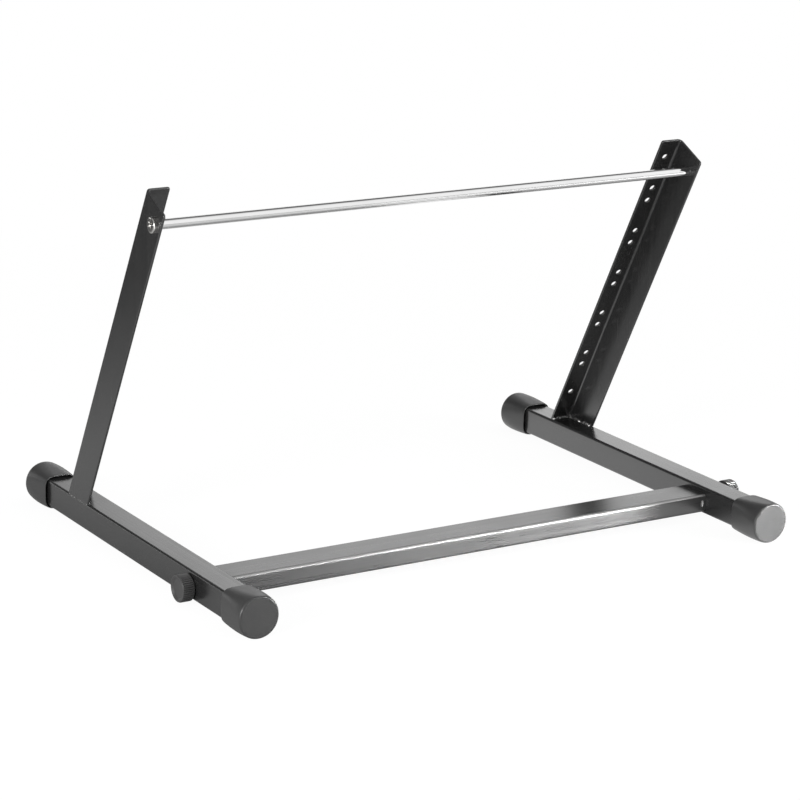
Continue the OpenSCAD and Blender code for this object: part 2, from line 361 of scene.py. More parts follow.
def makeWeldPaint():
    look = weldLook
    material, tree, shader, where = startMaterial("paintedBead", {"IOR": look["ior"]})
    peel = groupNode(tree, "orangePeel", where, Scale=look["peelScale"])
    blendColour(tree, shader, peel.outputs["Cloud"], look["dark"], look["light"])
    blendRoughness(tree, shader, peel.outputs["Cloud"], look["smooth"], look["rough"])
    # bright metallic flecks scattered over the bead as painted glints
    glintFleck = rampNode(tree, noiseNode(tree, where, look["glintFleckScale"], 1.0), *look["glintFleckShows"])
    overlay(tree, shader, "Base Color", glintFleck, look["glintFleck"])
    tree.links.new(glintFleck, shader.inputs["Metallic"])
    addBump(tree, shader, [(peel.outputs["Height"], look["peelDepth"])])
    return material


rubberLook = {
    "dark": (0.036, 0.036, 0.037),
    "light": (0.048, 0.048, 0.047),
    "ior": 1.45,
    "smooth": 0.30,
    "rough": 0.42,
    "grainScale": 1700.0,
    "grainDepth": 8 * micron,
    # paler streaks over the caps, partly scuffs and partly painted sheen
    "scuffAndSheen": (0.075, 0.074, 0.072),
    "scuffAndSheenShare": 0.4,
}
mouldingLook = {
    "dark": (0.036, 0.036, 0.037),
    "light": (0.062, 0.061, 0.06),
    "ior": 1.5,
    "smooth": 0.28,
    "rough": 0.42,
    "grainScale": 2600.0,
    "grainDepth": 8 * micron,
}


def makeMoulded(name, look):
    material, tree, shader, where = startMaterial(name, {"IOR": look["ior"]})
    grain = groupNode(tree, "mouldGrain", where, Scale=look["grainScale"])
    blendColour(tree, shader, grain.outputs["Mask"], look["dark"], look["light"])
    if "scuffAndSheen" in look:
        scuffAndSheenMask = mathNode(tree, "MULTIPLY", grain.outputs["ScuffAndSheen"], look["scuffAndSheenShare"])
        overlay(tree, shader, "Base Color", scuffAndSheenMask, look["scuffAndSheen"])
    blendRoughness(tree, shader, grain.outputs["Mask"], look["smooth"], look["rough"])
    addBump(tree, shader, [(grain.outputs["Height"], look["grainDepth"])])
    return material


metalLooks = {
    "brightPlate": {"dark": (0.64, 0.64, 0.64), "light": (0.72, 0.72, 0.72), "smooth": 0.045, "rough": 0.065,
                    "fineness": 1.0, "lineDepth": 1.2 * micron},
    "nickelPlate": {"dark": (0.58, 0.57, 0.55), "light": (0.72, 0.71, 0.69), "smooth": 0.10, "rough": 0.22,
                    "fineness": 2.0, "lineDepth": 2 * micron},
    "zincPlate": {"dark": (0.50, 0.50, 0.49), "light": (0.64, 0.64, 0.63), "smooth": 0.24, "rough": 0.38,
                  "fineness": 2.0, "lineDepth": 3 * micron},
    "turnedSteel": {"dark": (0.40, 0.40, 0.40), "light": (0.52, 0.52, 0.52), "smooth": 0.3, "rough": 0.45,
                    "fineness": 2.0, "lineDepth": 5 * micron},
}
metalLineShare = 0.6
metalPeelScale = 900.0


def makeMetal(name):
    look = metalLooks[name]
    material, tree, shader, where = startMaterial(name, {"Metallic": 1.0})
    lines = groupNode(tree, "drawnLines", where, Fineness=look["fineness"])
    peel = groupNode(tree, "orangePeel", where, Scale=metalPeelScale)
    both = toneMask(tree, lines, peel, metalLineShare)
    blendColour(tree, shader, both, look["dark"], look["light"])
    blendRoughness(tree, shader, both, look["smooth"], look["rough"])
    addBump(tree, shader, [(lines.outputs["Height"], look["lineDepth"])])
    return material


# the turns lay the drawn lines along X, along Y and up the rails; the cross tube's coat is paler and rougher
paintAcross = makePaint("satinPaintAcross", (0, 0, 0), rougher=0.05, paler=1.8, glossier=0.17)
paintAlong = makePaint("satinPaintAlong", (0, 0, 90))
paintRail = makePaint("satinPaintRail", (0, 90, 0))
paintBead = makeWeldPaint()
rubber = makeMoulded("matRubber", rubberLook)
moulding = makeMoulded("knobMoulding", mouldingLook)
chrome, nickel, zinc, plugSteel = (makeMetal(name) for name in metalLooks)
print("materials made")


# Shared modelling steps

def shareNormals(piece):
    # large flat faces keep their own normal beside a small round edge
    even = piece.modifiers.new("evenNormals", "WEIGHTED_NORMAL")
    even.mode = "FACE_AREA"
    even.weight = 100
    even.keep_sharp = True


def meshObject(bm, name, finish):
    mesh = bpy.data.meshes.new(name)
    bm.to_mesh(mesh)
    bm.free()
    mesh.materials.append(finish)
    made = bpy.data.objects.new(name, mesh)
    bpy.context.scene.collection.objects.link(made)
    return made


def addPiece(bm, name, finish, node, body="stand_frame", place=None, side="right", sharp=40):
    # every piece is made for the right side; sharp is the angle past which an edge shows as a line
    bmesh.ops.remove_doubles(bm, verts=bm.verts, dist=micron)
    if place:
        bmesh.ops.transform(bm, matrix=place, verts=bm.verts)
    if side == "left":
        bmesh.ops.transform(bm, matrix=Matrix.Scale(-1, 4, (1, 0, 0)), verts=bm.verts)
    bmesh.ops.recalc_face_normals(bm, faces=bm.faces)
    piece = meshObject(bm, name, finish)
    piece.data.shade_smooth()
    piece.data.set_sharp_from_angle(angle=math.radians(sharp))
    shareNormals(piece)
    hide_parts(node)
    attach(piece, body)


def growEdges(bm, edges):
    # extrudes a loop of edges; returns the new vertices and the new loop
    grown = bmesh.ops.extrude_edge_only(bm, edges=edges)["geom"]
    fresh = [g for g in grown if isinstance(g, bmesh.types.BMVert)]
    held = set(fresh)
    return fresh, [g for g in grown if isinstance(g, bmesh.types.BMEdge) and set(g.verts) <= held]


def trimAt(bm, z, normal, dist=0.0):
    # cuts off what lies beyond a level and closes the cut
    cut = bmesh.ops.bisect_plane(bm, geom=bm.verts[:] + bm.edges[:] + bm.faces[:], plane_co=(0, 0, z),
                                 plane_no=(0, 0, normal), clear_outer=True, dist=dist)
    bmesh.ops.edgeloop_fill(bm, edges=[g for g in cut["geom_cut"] if isinstance(g, bmesh.types.BMEdge)])


def shapeRing(verts, ring):
    # puts each vertex of a ring at the ring's height and at its radius in the vertex's own direction
    height, reach = ring
    for v in verts:
        angle = math.atan2(v.co.y, v.co.x)
        r = reach(angle) if callable(reach) else reach
        v.co = (r * math.cos(angle), r * math.sin(angle), height)


def stackRings(rings, count):
    # a closed body from rings along Z, each extruded from the one before
    bm = bmesh.new()
    bmesh.ops.create_circle(bm, segments=count, radius=1.0)
    edges = list(bm.edges)
    shapeRing(bm.verts, rings[0])
    bmesh.ops.edgeloop_fill(bm, edges=edges)
    for ring in rings[1:]:
        fresh, edges = growEdges(bm, edges)
        shapeRing(fresh, ring)
    bmesh.ops.edgeloop_fill(bm, edges=edges)
    return bm


def roundedOutline(bm, width, height, radius, steps):
    # the edges of a rounded rectangle in the XY plane
    bmesh.ops.create_grid(bm, x_segments=1, y_segments=1, size=0.5)
    bmesh.ops.scale(bm, vec=(width, height, 1), verts=bm.verts)
    bmesh.ops.bevel(bm, geom=bm.verts[:], offset=radius, offset_type="OFFSET", segments=steps,
                    profile=0.5, affect="VERTICES", material=-1)
    bmesh.ops.delete(bm, geom=bm.faces[:], context="FACES_ONLY")
    return list(bm.edges)


def extrudeRows(bm, edges, stations):
    # extrudes an outline at Z = 0 through the stations along Z
    last = stations[0]
    bmesh.ops.translate(bm, vec=(0, 0, last), verts=list({v for e in edges for v in e.verts}))
    for station in stations[1:]:
        fresh, edges = growEdges(bm, edges)
        bmesh.ops.translate(bm, vec=(0, 0, station - last), verts=fresh)
        last = station


def faceAt(bm, spot):
    # the smallest face whose box holds the spot
    slack = 10 * micron
    def holds(face):
        spans = [[v.co[i] for v in face.verts] for i in range(3)]
        return all(min(span) - slack <= at <= max(span) + slack for span, at in zip(spans, spot))
    return min((f for f in bm.faces if holds(f)), key=lambda f: f.calc_area())


holeCell = {"points": 32, "rim": 0.3 * mm}  # the rim is the ring of faces left round a hole


def cutCell(bm, spot):
    # cuts the outline of the flat face at a spot finer and insets it; returns the face left in the middle
    face = faceAt(bm, spot)
    edges = list(face.edges)
    bmesh.ops.delete(bm, geom=[face], context="FACES_ONLY")
    cuts = bmesh.ops.subdivide_edges(bm, edges=edges, cuts=holeCell["points"] // len(edges) - 1)
    outline = [g for g in cuts["geom"] if isinstance(g, bmesh.types.BMEdge) and len(g.link_faces) < 2]
    lid = bmesh.ops.edgeloop_fill(bm, edges=outline)["faces"]
    bmesh.ops.inset_individual(bm, faces=lid, thickness=holeCell["rim"])
    return lid[0]


def punchHole(bm, spot, radius):
    # a round hole through a flat face
    lid = cutCell(bm, spot)
    for v in lid.verts:
        v.co = spot + (v.co - spot).normalized() * radius
    bmesh.ops.delete(bm, geom=[lid], context="FACES_ONLY")


def softenEdges(bm, width, steps, keep):
    # rounds the edges of more than 50 degrees that keep picks
    edges = [e for e in bm.edges if len(e.link_faces) == 2 and keep(e)
             and e.calc_face_angle(0) > math.radians(50)]
    bmesh.ops.bevel(bm, geom=edges, offset=width, offset_type="OFFSET", segments=steps, profile=0.5,
                    affect="EDGES", clamp_overlap=True, material=-1)


zToX = Matrix.Rotation(math.radians(90), 4, "Y")
zToY = Matrix.Rotation(math.radians(-90), 4, "X")


# Base tubes

baseTube = {
    "width": 22 * mm,
    "wall": 1.5 * mm,
    "corner": 2 * mm,
    "cornerSteps": 6,
    "boreR": 3.25 * mm,
    "cellHalf": 8 * mm,  # half the length of the faces that the bores are cut in
}
boltY = (studBox[0].y + studBox[1].y) / 2
boltZ = (studBox[0].z + studBox[1].z) / 2


def buildBaseTube(side):
    facts = baseTube
    bm = bmesh.new()
    outline = roundedOutline(bm, facts["width"], facts["width"], facts["corner"], facts["cornerSteps"])
    extrudeRows(bm, outline, [tubeBox[0].y, boltY - facts["cellHalf"], boltY + facts["cellHalf"], tubeBox[1].y])
    bmesh.ops.transform(bm, matrix=Matrix.Translation((rowX, 0, tubeZ)) @ zToY, verts=bm.verts)
    for x in (sideX, innerX):
        punchHole(bm, Vector((x, boltY, boltZ)), facts["boreR"])
    bmesh.ops.recalc_face_normals(bm, faces=bm.faces)
    bmesh.ops.solidify(bm, geom=bm.faces[:], thickness=facts["wall"])
    addPiece(bm, side + "BaseTube", paintAlong, side + "_base_tube",
             side=side)


for side in sides:
    buildBaseTube(side)
print("base tubes made")


# Rails

rail = {
    "strip": 20 * mm,
    "flange": 33 * mm,
    "sheet": 2 * mm,
    "outerFold": 4 * mm,
    "foldSteps": 8,
    "lean": 26.5,  # degrees back from upright
    "length": 301.8 * mm,
    "below": 33 * mm,  # made this much longer, then trimmed level with the base tube
    "corner": 2 * mm,
    "cornerSteps": 5,
    "holeR": 2.5 * mm,
    "firstHole": 31.55 * mm,
    "pair": 31.75 * mm,
    "unit": 44.45 * mm,
    "units": 6,
    "cellHalf": 4.8 * mm,
    "threadOut": 0.12 * mm,  # bare steel reaches this far past the tapped bore
    "rodUp": 286 * mm,
    "rodDeep": 23 * mm,
    "rodHoleR": 2.75 * mm,
    "edge": 0.85 * mm,  # the sheared edges are worn nearly round under the paint
    "holeEdge": 0.25 * mm,
}
railLean = math.radians(rail["lean"])
railPlace = Matrix.Translation((0, footY, tubeTop)) @ Matrix.Rotation(-railLean, 4, "X")


def railHoles():
    return [rail["firstHole"] + n * rail["unit"] + k * rail["pair"]
            for n in range(rail["units"]) for k in (0, 1)]


def nearHole(spot, reach):
    # in the rail's own frame, before it is leaned over
    return any(math.hypot(spot.x - rowX, spot.z - up) < reach for up in railHoles())


def onHoleRim(edge):
    spot = (edge.verts[0].co + edge.verts[1].co) / 2
    gap = 0.7 * mm
    if math.hypot(spot.y - rail["rodDeep"], spot.z - rail["rodUp"]) < rail["rodHoleR"] + gap:
        return True
    return nearHole(spot, rail["holeR"] + gap)


def buildRail(side):
    facts = rail
    bm = bmesh.new()
    fold, cell, steps = facts["outerFold"], facts["cellHalf"], facts["foldSteps"]
    across = [sideX - facts["strip"], rowX - cell, rowX + cell, sideX - fold]
    deep = [fold, facts["rodDeep"] - cell, facts["rodDeep"] + cell, facts["flange"]]
    arc = [(sideX - fold + fold * math.sin(a), fold - fold * math.cos(a))
           for a in (math.radians(90 * i / steps) for i in range(1, steps))]
    path = [(x, 0) for x in across] + arc + [(sideX, y) for y in deep]
    verts = [bm.verts.new((x, y, 0)) for x, y in path]
    edges = [bm.edges.new(pair) for pair in zip(verts, verts[1:])]
    stations = {-facts["below"], facts["length"]}
    for up in railHoles():
        stations |= {up - cell, up + cell}
    extrudeRows(bm, edges, sorted(stations))
    for up in railHoles():
        punchHole(bm, Vector((rowX, 0, up)), facts["holeR"])
    punchHole(bm, Vector((sideX, facts["rodDeep"], facts["rodUp"])), facts["rodHoleR"])
    tips = [v for v in bm.verts if abs(v.co.z - facts["length"]) < micron
            and (abs(v.co.x - across[0]) < micron or abs(v.co.y - facts["flange"]) < micron)]
    bmesh.ops.bevel(bm, geom=tips, offset=facts["corner"], offset_type="OFFSET", segments=facts["cornerSteps"],
                    profile=0.5, affect="VERTICES", material=-1)
    bmesh.ops.recalc_face_normals(bm, faces=bm.faces)
    bmesh.ops.solidify(bm, geom=bm.faces[:], thickness=facts["sheet"])
    softenEdges(bm, facts["holeEdge"], steps=2, keep=onHoleRim)
    softenEdges(bm, facts["edge"], steps=4, keep=lambda e: not onHoleRim(e))
    bare = bm.loops.layers.float.new("bare")
    for face in bm.faces:
        if nearHole(face.calc_center_median(), facts["holeR"] + facts["threadOut"]):
            for loop in face.loops:
                loop[bare] = 1.0
    bmesh.ops.transform(bm, matrix=railPlace, verts=bm.verts)
    trimAt(bm, tubeTop, -1)
    addPiece(bm, side + "Rail", paintRail, side + "_rail",
             side=side, sharp=35)


for side in sides:
    buildRail(side)
print("rails made")


# Weld beads at the rail feet

bead = {
    "radius": 1.6 * mm,
    "ripple": 0.24,  # how far each ripple, the blob and the uneven feed stand out, as shares of the radius
    "blob": 0.55,
    "uneven": 0.08,
    "rippleLong": 2.1 * mm,
    "blobReach": 1.8 * mm,  # the blob where the bead starts
    "step": 0.3 * mm,
    "bend": 1.6 * mm,  # the turn at the rail's inner fold
    "sunk": 0.1 * mm,
    "endSteps": 6,
    "sides": 14,
}


def buildBead(side):
    facts = bead
    bend, step = facts["bend"], facts["step"]
    backY = footY + rail["sheet"] / math.cos(railLean)
    insideX = sideX - rail["sheet"]
    endY = footY + rail["flange"] / math.cos(railLean) - 1.2 * mm
    startX = innerX + 1.9 * mm
    run = int((insideX - bend - startX) / step)
    path = [Vector((startX + i * (insideX - bend - startX) / run, backY, 0)) for i in range(run)]
    path += [Vector((insideX - bend + bend * math.sin(a), backY + bend - bend * math.cos(a), 0))
             for a in (math.radians(9 * i) for i in range(10))]
    run = int((endY - backY - bend) / step)
    path += [Vector((insideX, backY + bend + i * (endY - backY - bend) / run, 0)) for i in range(run + 1)]
    bm = bmesh.new()
    loops = []
    gone = 0.0
    for i, point in enumerate(path):
        ahead = (path[min(i + 1, len(path) - 1)] - path[max(i - 1, 0)]).normalized()
        if i:
            gone += (point - path[i - 1]).length
        taper = max(0.0, 1 - min(i, len(path) - 1 - i) / facts["endSteps"])
        ends = min(1.0, math.sqrt(max(0.0, 1 - taper ** 2)) + 0.05)
        saw = (gone / facts["rippleLong"]) % 1.0
        blob = facts["blob"] * math.exp(-(gone / facts["blobReach"]) ** 2)
        size = facts["radius"] * ends * (1 + blob + facts["ripple"] * math.sin(math.pi * saw)
                                         + facts["uneven"] * math.sin(gone * 1900 + sides[side]))
        turn = ahead.to_track_quat("Z", "Y").to_matrix().to_4x4()
        place = Matrix.Translation(point + Vector((0, 0, tubeTop - facts["sunk"]))) @ turn
        ring = bmesh.ops.create_circle(bm, segments=facts["sides"], radius=size, matrix=place)["verts"]
        loops.append(list(dict.fromkeys(e for v in ring for e in v.link_edges)))
    bmesh.ops.edgeloop_fill(bm, edges=loops[0])
    bmesh.ops.edgeloop_fill(bm, edges=loops[-1])
    for a, b in zip(loops, loops[1:]):
        bmesh.ops.bridge_loops(bm, edges=a + b)
    addPiece(bm, side + "RailWeld", paintBead, side + "_rail_weld",
             side=side, sharp=80)


for side in sides:
    buildBead(side)
print("weld beads made")


# Cross tube

crossTube = {
    "corner": 2 * mm,
    "cornerSteps": 6,
    "wall": 1.5 * mm,
    "cornerPaintedHighlight": 0.34,  # share of steel laid on as a painted highlight along the two upper corners, and in the crimps
    "crimpPaintedHighlight": 1.0,
    "crimpIn": 3 * mm,
    "crimpHigh": 5.5 * mm,
    "crimpWide": 2.4 * mm,
    "crimpDeep": 0.8 * mm,
    "crimpSteps": ((0.86, 0.12), (0.76, 0.5), (0.70, 0.88), (0.55, 1.0)),  # shares of its width and depth
    "cellHigh": 4.2 * mm,
    "cellHalf": 2.0 * mm,
}


def pressCrimp(bm, spot, outward):
    facts = crossTube
    half = facts["crimpWide"] / 2
    stretch = facts["crimpHigh"] / 2 - half
    lid = cutCell(bm, spot)
    for v in lid.verts:
        away = (v.co - spot).normalized()
        side = (away.z > 0.01) - (away.z < -0.01)
        v.co = spot + away * half + Vector((0, 0, side * stretch))
    edges = list(lid.edges)
    bmesh.ops.delete(bm, geom=[lid], context="FACES_ONLY")
    centre = Matrix.Translation(-spot)
    for narrow, deep in facts["crimpSteps"]:
        fresh, edges = growEdges(bm, edges)
        last = fresh[0].co.y
        high = (half * narrow + stretch) / (max(v.co.z for v in fresh) - spot.z)
        wide = half * narrow / (max(v.co.x for v in fresh) - spot.x)
        bmesh.ops.scale(bm, vec=(wide, 1, high), space=centre, verts=fresh)
        pushed = spot.y - outward * facts["crimpDeep"] * deep
        bmesh.ops.translate(bm, vec=(0, pushed - last, 0), verts=fresh)
    bmesh.ops.edgeloop_fill(bm, edges=edges)


def paintedHighlightShare(off, half):
    # how much steel a face gets as a painted highlight; off is a face's place from the tube's middle, half the
    # tube's half size
    facts = crossTube
    up, out = off.z - half.z + facts["corner"], abs(off.y) - half.y + facts["corner"]
    onCorner = up > 0.3 * out > 0 and out > 0.3 * up and math.hypot(up, out) > 0.8 * facts["corner"]
    deep = half.y - abs(off.y)
    pressed = 0.02 * mm < deep < facts["crimpDeep"] + 0.05 * mm
    inCrimp = (pressed and abs(off.z) < facts["crimpHigh"] / 2
               and abs(half.x - facts["crimpIn"] - abs(off.x)) < facts["crimpWide"] / 2)
    return facts["cornerPaintedHighlight"] * onCorner + facts["crimpPaintedHighlight"] * inCrimp


def buildCrossTube():
    facts = crossTube
    low, high = crossBox
    middle = (low + high) / 2
    bm = bmesh.new()
    roundedOutline(bm, high.y - low.y, high.z - low.z, facts["corner"], facts["cornerSteps"])
    for z in (-facts["cellHigh"], facts["cellHigh"]):
        bmesh.ops.bisect_plane(bm, geom=bm.verts[:] + bm.edges[:], plane_co=(0, z, 0), plane_no=(0, 1, 0))
    stations = [low.x, high.x]
    for end in (low.x + facts["crimpIn"], high.x - facts["crimpIn"]):
        stations += [end - facts["cellHalf"], end + facts["cellHalf"]]
    extrudeRows(bm, list(bm.edges), sorted(stations))
    stand = Matrix(((0, 0, 1, 0), (1, 0, 0, middle.y), (0, 1, 0, middle.z), (0, 0, 0, 1)))
    bmesh.ops.transform(bm, matrix=stand, verts=bm.verts)
    for x in (low.x + facts["crimpIn"], high.x - facts["crimpIn"]):
        for y, outward in ((low.y, -1), (high.y, 1)):
            pressCrimp(bm, Vector((x, y, middle.z)), outward)
    bmesh.ops.recalc_face_normals(bm, faces=bm.faces)
    bmesh.ops.solidify(bm, geom=bm.faces[:], thickness=facts["wall"])
    # steel painted on the upper corners and in the crimps as a highlight
    paintedHighlight = bm.loops.layers.float.new("paintedHighlight")
    for face in bm.faces:
        share = paintedHighlightShare(face.calc_center_median() - middle, (high - low) / 2)
        for loop in face.loops:
            loop[paintedHighlight] = share
    addPiece(bm, "crossTube", paintAcross, "cross_tube", sharp=50)


buildCrossTube()
for side in sides:
    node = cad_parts[side + "_plug"]
    node.data.materials.clear()
    node.data.materials.append(plugSteel)
print("cross tube made")


# End caps

cap = {
    "length": 32.5 * mm,
    "mouth": 27.5 * mm,
    "end": 32.5 * mm,
    "swell": 1.3,
    "edge": 1.5 * mm,
    "socketHalf": 11.05 * mm,
    "socketCorner": 2.05 * mm,
    "socketDeep": 28.5 * mm,
    "lip": 0.3 * mm,
    "lipWall": 0.8 * mm,
    "flareDeep": 8 * mm,  # the socket opens out towards the mouth and stands clear of the tube there
    "flareSteps": (0.0, 0.35, 0.7, 0.96),
    "sideSteps": 18,
    "edgeSteps": 7,
    "endRings": (12.6 * mm, 6 * mm),  # on the flat end
    "segments": 72,
}


def capReach(t, trim=0.0):
    # bowed square at the mouth, swelling to a circle at the round end
    width = cap["mouth"] + (cap["end"] - cap["mouth"]) * (1 - (1 - t) ** cap["swell"])
    power = 4 - 2 * t ** 1.15
    def reach(angle):
        spread = (abs(math.cos(angle)) ** power + abs(math.sin(angle)) ** power) ** (1 / power)
        return width / 2 / spread - trim
    return reach


def squareReach(half, corner):
    # a square with round corners
    def reach(angle):
        c, s = sorted((abs(math.cos(angle)), abs(math.sin(angle))))
        flat = half / s
        if flat * c <= half - corner:
            return flat
        inset = half - corner
        along = inset * (c + s)
        return along + math.sqrt(along ** 2 - 2 * inset ** 2 + corner ** 2)
    return reach


def capRings():
    facts = cap
    lip, edge, length = facts["lip"], facts["edge"], facts["length"]
    hole = squareReach(facts["socketHalf"], facts["socketCorner"])
    rim = capReach(0.0, facts["lipWall"])
    rings = [(facts["socketDeep"], hole)]
    for t in facts["flareSteps"]:
        rings.append((facts["flareDeep"] * (1 - t), lambda a, t=t: hole(a) + (rim(a) - hole(a)) * t))
    rings.append((0.1 * lip, capReach(0.0, facts["lipWall"] - 0.6 * lip)))
    for i in range(5):
        a = math.radians(90 * i / 4)
        rings.append((lip * (1 - math.cos(a)), capReach(0.0, lip * (1 - math.sin(a)))))
    last = (length - edge) / length
    for i in range(1, facts["sideSteps"] + 1):
        t = lip / length + (last - lip / length) * i / facts["sideSteps"]
        rings.append((t * length, capReach(t)))
    for i in range(1, facts["edgeSteps"] + 1):
        a = math.radians(90 * i / facts["edgeSteps"])
        t = last + (1 - last) * math.sin(a)
        rings.append((length - edge * (1 - math.sin(a)), capReach(t, edge * (1 - math.cos(a)))))
    return rings + [(length, r) for r in facts["endRings"]]


def buildCap(end, side):
    bm = stackRings(capRings(), cap["segments"])
    place = Matrix.Translation((rowX, capBox[0].y, tubeZ)) @ zToY
    if end == "front":
        place = Matrix.Scale(-1, 4, (0, 1, 0)) @ place
    addPiece(bm, end + side.capitalize() + "Cap", rubber, f"{end}_{side}_cap",
             place=place, side=side, sharp=60)


for end in ("front", "rear"):
    for side in sides:
        buildCap(end, side)
print("end caps made")


# Thumbscrews

knob = {
    "outer": 10.5 * mm,
    "length": 10.5 * mm,
    "ribs": 40,
    "ribDeep": 0.6 * mm,
    "ribSteps": 6,
    "hub": 9.2 * mm,
    "taper": 1.3 * mm,
    "dish": 1.3 * mm,
    "dishWide": 1.9 * mm,
    "boreR": 3.05 * mm,
    "boreDeep": 7.05 * mm,
    "clear": 0.02 * mm,  # keeps its back off the tube when it is screwed home
    # its outline in mm, from the back to the dish; down is below the face, in is from the outside
    "back": ((0.0, -0.3), (0.12, -0.06), (0.35, 0.1)),  # up, out from the hub
    "ribsStart": ((0.0, 0.0), (0.25, 0.8), (0.5, 1.0)),  # up from the taper, share of the ribs
    "ribsEnd": ((0.85, 1.0, 0.0), (0.65, 0.75, 0.0), (0.5, 0.2, 0.03)),  # down, share of the ribs, in
    "rim": ((0.32, 0.28), (0.14, 0.36), (0.03, 0.5), (0.0, 0.65), (0.0, 1.0)),  # down, in
    "dishLip": (0.06, 1.2),  # down, in
    "dishSteps": (0.0, 0.3, 1.0, 1.5),  # in from the lip
}


def ribbed(outer, share):
    # a rib is a flat crest with round flanks; share fades the ribs out
    def reach(angle):
        wave = 0.5 - 0.5 * math.cos(angle * knob["ribs"])
        groove = 1 - min(1.0, wave * 2.2) ** 1.5
        return outer - knob["ribDeep"] * share * groove - knob["ribDeep"] * (1 - share) * 0.5
    return reach


def seatX(side):
    # where the knob's back stands: against the tube, or out from it where the screw is backed out
    return min(abs(corner.x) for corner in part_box(side + "_knob"))


def buildKnob(side):
    facts = knob
    outer, length, boreR, taper = facts["outer"], facts["length"], facts["boreR"], facts["taper"]
    rings = [(facts["boreDeep"], boreR), (0.25 * mm, boreR), (0.0, boreR + 0.25 * mm)]
    rings += [(up * mm, facts["hub"] + out * mm) for up, out in facts["back"]]
    rings.append((taper - 0.3 * mm, outer - 0.65 * mm))
    rings += [(taper + up * mm, ribbed(outer, share)) for up, share in facts["ribsStart"]]
    rings += [(length - down * mm, ribbed(outer - inset * mm, share))
              for down, share, inset in facts["ribsEnd"]]
    rings += [(length - down * mm, outer - inset * mm) for down, inset in facts["rim"]]
    lipZ, lipR = length - facts["dishLip"][0] * mm, outer - facts["dishLip"][1] * mm
    slope = facts["dish"] / facts["dishWide"]
    rings += [(lipZ - slope * step * mm, lipR - step * mm) for step in facts["dishSteps"]]
    floorZ = length - facts["dish"] - 0.06 * mm
    rings += [(floorZ + 0.04 * mm, lipR - facts["dishWide"]), (floorZ, lipR - facts["dishWide"] - 0.5 * mm),
              (floorZ, 3 * mm)]
    bm = stackRings(rings, facts["ribs"] * facts["ribSteps"])
    place = Matrix.Translation((seatX(side) + facts["clear"], boltY, boltZ)) @ zToX
    addPiece(bm, side + "Knob", moulding, side + "_knob", side + "_thumbscrew_knob",
             place=place, side=side, sharp=50)


stud = {
    "crestR": 2.98 * mm,
    "rootR": 2.42 * mm,
    "pitch": 1.0 * mm,
    "reach": 32 * mm,  # past the knob's back
    "hold": 7 * mm,  # inside the knob
    "point": 0.8 * mm,
    "steps": 20,
}


def threadedRod(length):
    # one pitch of the thread spun along its helix, trimmed square, with a chamfered point at Z = 0
    facts = stud
    bm = bmesh.new()
    pitch, steps = facts["pitch"], facts["steps"]
    turns = int(length / pitch) + 3
    profile = [(facts["rootR"], 0.0), (facts["rootR"], 0.2), (facts["crestR"], 0.52), (facts["crestR"], 0.68),
               (facts["rootR"], 1.0)]
    verts = [bm.verts.new((r, 0, (z - 2) * pitch)) for r, z in profile]
    edges = [bm.edges.new(pair) for pair in zip(verts, verts[1:])]
    bmesh.ops.spin(bm, geom=verts + edges, cent=(0, 0, 0), axis=(0, 0, 1), dvec=(0, 0, pitch / steps),
                   angle=2 * math.pi * turns, steps=turns * steps, use_merge=False, use_duplicate=False)
    bmesh.ops.remove_doubles(bm, verts=bm.verts, dist=0.01 * mm)
    for z, normal in ((0.0, -1), (length, 1)):
        trimAt(bm, z, normal, 0.5 * micron)
    for v in bm.verts:
        r = math.hypot(v.co.x, v.co.y)
        limit = facts["crestR"] - facts["point"] + max(0.0, v.co.z)
        if r > limit:
            v.co.x *= limit / r
            v.co.y *= limit / r
    return bm


def buildStud(side):
    bm = threadedRod(stud["reach"] + stud["hold"])
    place = Matrix.Translation((seatX(side), boltY, boltZ)) @ zToX @ Matrix.Translation((0, 0, -stud["reach"]))
    addPiece(bm, side + "Stud", zinc, side + "_stud", side + "_thumbscrew_stud",
             place=place, side=side, sharp=25)


for side in sides:
    buildKnob(side)
    buildStud(side)
print("thumbscrews made")


# Support rod and its screws

rod = {
    "radius": 3.75 * mm,
    "chamfer": 0.45 * mm,
    "boreR": 2.55 * mm,
    "boreDeep": 14 * mm,
    "rings": 24,
    "sides": 64,
}
rodAxis = railPlace @ Matrix.Translation((0, rail["rodDeep"], rail["rodUp"])) @ zToX


def buildRod():
    facts = rod
    half = rodBox[1].x
    r, c, b = facts["radius"], facts["chamfer"], facts["boreR"]
    start = [(-half + facts["boreDeep"], b), (-half, b), (-half, r - c), (-half + 0.3 * c, r - 0.3 * c),
             (-half + c, r)]
    count = facts["rings"]
    rings = start + [(-half + 2 * c + (2 * half - 4 * c) * i / count, r) for i in range(count + 1)]
    rings += [(-z, reach) for z, reach in reversed(start)]
    addPiece(stackRings(rings, facts["sides"]), "supportRod", chrome, "support_rod",
             place=rodAxis, sharp=30)


rodScrew = {
    "headR": 6 * mm,
    "headHigh": 3.2 * mm,
    "sideHigh": 2.1 * mm,
    "domeRise": 0.35 * mm,
    "shankR": 2.5 * mm,
    "shank": 14 * mm,
    "domeSteps": (0.82, 0.76, 0.7, 0.63),
    "crossLong": 3.0 * mm,
    "crossHalf": 0.72 * mm,
    "crossDeep": 2.1 * mm,
    "crossTurn": {"left": 20, "right": 65},  # degrees
    "segments": 96,
}


def crossReach(long, half):
    # the outline of a cross recess, seen from its middle
    def reach(angle):
        off = abs((angle + math.pi / 4) % (math.pi / 2) - math.pi / 4)
        if math.tan(off) <= half / long:
            return long / math.cos(off)
        return half / math.sin(off)
    return reach


